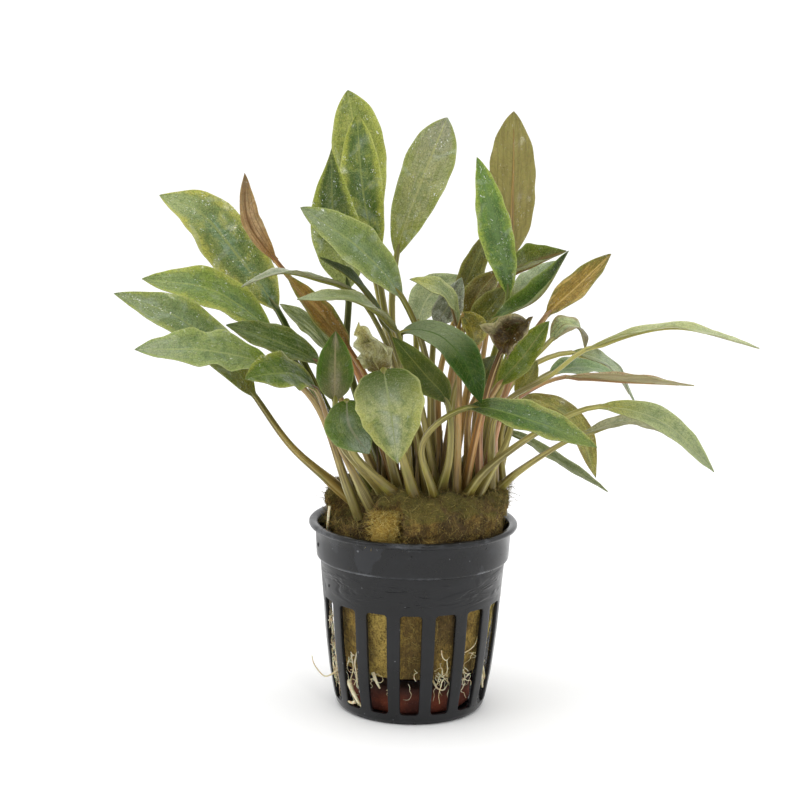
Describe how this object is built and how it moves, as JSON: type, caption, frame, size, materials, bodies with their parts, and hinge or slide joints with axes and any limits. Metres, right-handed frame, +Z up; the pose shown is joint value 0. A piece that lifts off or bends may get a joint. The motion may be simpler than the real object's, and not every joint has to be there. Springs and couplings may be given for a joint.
{
  "type": "potted aquarium plant",
  "caption": "Leafy aquarium plant with mottled green and brown lance-shaped leaves, rooted in a rockwool plug in a slotted black net pot with a clay weight ring.",
  "frame": {"origin": "centre of the underside of the pot, on the surface it stands on", "axes": "+Z up along the pot's axis, -Y towards the front of the plant, +X to its right seen from the front"},
  "size_m": [0.159, 0.0785, 0.161],
  "materials": {
    "pot_plastic": "satin black, moulded",
    "rockwool": "matted brown and green fibre",
    "rockwool_light": "matted straw-coloured fibre",
    "clay": "unglazed red clay",
    "root_white": "moist, off-white",
    "leaf_green": "waxy green, mottled",
    "leaf_dark": "waxy dark green",
    "leaf_bright": "waxy bright green",
    "leaf_pale": "waxy pale green",
    "leaf_yellow": "waxy yellow-green, mottled",
    "leaf_olive": "olive brown",
    "leaf_brown": "orange brown",
    "leaf_withered": "withered, crumpled"
  },
  "bodies": {
    "root": {"pot": "pot_plastic", "rockwool_plug": "rockwool", "rockwool_chip": "rockwool_light", "clay_ring": "clay", "root_curl": "root_white", "root_thick": "root_white", "root_front": "root_white", "root_right": "root_white", "leaf_left_1": "leaf_green", "leaf_left_2": "leaf_yellow", "leaf_left_3": "leaf_dark", "leaf_left_4": "leaf_pale", "leaf_left_5": "leaf_dark", "leaf_left_6": "leaf_green", "leaf_left_7": "leaf_dark", "leaf_left_8": "leaf_brown", "leaf_left_9": "leaf_brown", "leaf_left_10": "leaf_dark", "leaf_top_1": "leaf_yellow", "leaf_top_2": "leaf_green", "leaf_top_3": "leaf_dark", "leaf_top_4": "leaf_green", "leaf_top_5": "leaf_dark", "leaf_top_6": "leaf_pale", "leaf_top_7": "leaf_green", "leaf_top_8": "leaf_olive", "leaf_top_9": "leaf_olive", "leaf_top_10": "leaf_olive", "leaf_top_11": "leaf_pale", "leaf_top_12": "leaf_pale", "leaf_top_13": "leaf_withered", "leaf_right_1": "leaf_bright", "leaf_right_2": "leaf_bright", "leaf_right_3": "leaf_olive", "leaf_right_4": "leaf_pale", "leaf_right_5": "leaf_brown", "leaf_right_6": "leaf_bright", "leaf_right_7": "leaf_yellow", "leaf_right_8": "leaf_pale", "leaf_right_9": "leaf_pale", "leaf_right_10": "leaf_pale", "leaf_right_11": "leaf_green", "leaf_right_12": "leaf_green", "leaf_right_13": "leaf_pale", "leaf_right_14": "leaf_yellow", "leaf_right_15": "leaf_dark", "leaf_right_16": "leaf_dark", "leaf_right_17": "leaf_yellow", "leaf_right_18": "leaf_brown", "leaf_right_19": "leaf_olive", "leaf_right_20": "leaf_green", "leaf_right_21": "leaf_olive", "leaf_front_1": "leaf_green", "leaf_front_2": "leaf_yellow", "leaf_front_3": "leaf_dark", "leaf_front_4": "leaf_dark", "leaf_withered_1": "leaf_withered", "leaf_withered_2": "leaf_withered"}
  },
  "joints": []
}
